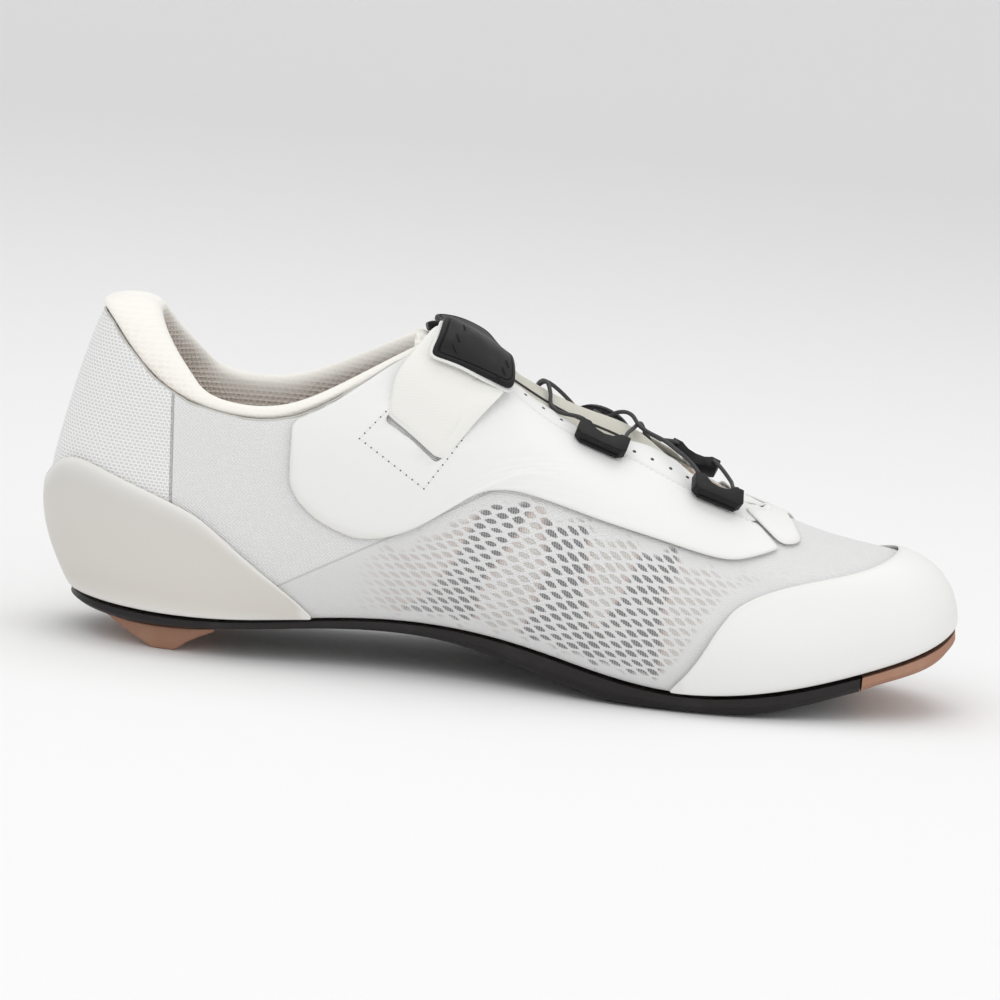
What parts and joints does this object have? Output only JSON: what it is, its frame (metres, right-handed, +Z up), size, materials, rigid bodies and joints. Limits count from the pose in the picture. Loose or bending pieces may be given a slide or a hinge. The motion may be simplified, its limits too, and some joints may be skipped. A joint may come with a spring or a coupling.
{
  "type": "cycling shoe",
  "caption": "White road cycling shoe for the left foot, with a knitted upper, smooth overlays, padded collar, instep strap, dial and cord closure, grey heel counter and black sole.",
  "frame": {"origin": "centre of the shoe's bounding box in plan, on the ground that it stands on", "axes": "+X from heel to toe, +Y to the outer side of the left foot, +Z up"},
  "size_m": [0.2874, 0.1028, 0.1094],
  "materials": {
    "knit": "matt white knitted mesh",
    "white_skin": "smooth satin synthetic leather",
    "counter": "warm grey moulded shell",
    "padding": "cream spacer mesh over foam",
    "tongue_fabric": "soft grey padded fabric",
    "insole_fabric": "matt white fabric over foam",
    "sole": "satin black moulded sole",
    "copper_rubber": "matt copper brown rubber",
    "copper_plastic": "satin copper plastic",
    "webbing": "off-white woven webbing",
    "black_nylon": "satin black nylon",
    "cord": "black braided cord"
  },
  "bodies": {
    "root": {"upper": "knit", "heel_counter": "counter", "toe_cap": "white_skin", "eyestay_inner": "white_skin", "eyestay_outer": "white_skin", "front_tab": "white_skin", "collar_padding": "padding", "tongue": "tongue_fabric", "insole": "insole_fabric", "outsole": "sole", "toe_bumper": "copper_rubber", "heel_pad": "copper_rubber", "strap": "webbing", "strap_plate": "black_nylon", "strap_plate_arm": "black_nylon", "guide_rear_inner": "black_nylon", "guide_front_inner": "black_nylon", "guide_front_outer": "black_nylon", "dial": "black_nylon", "dial_base": "copper_plastic", "cord_rear": "cord", "cord_cross": "cord", "cord_front": "cord"}
  },
  "joints": []
}
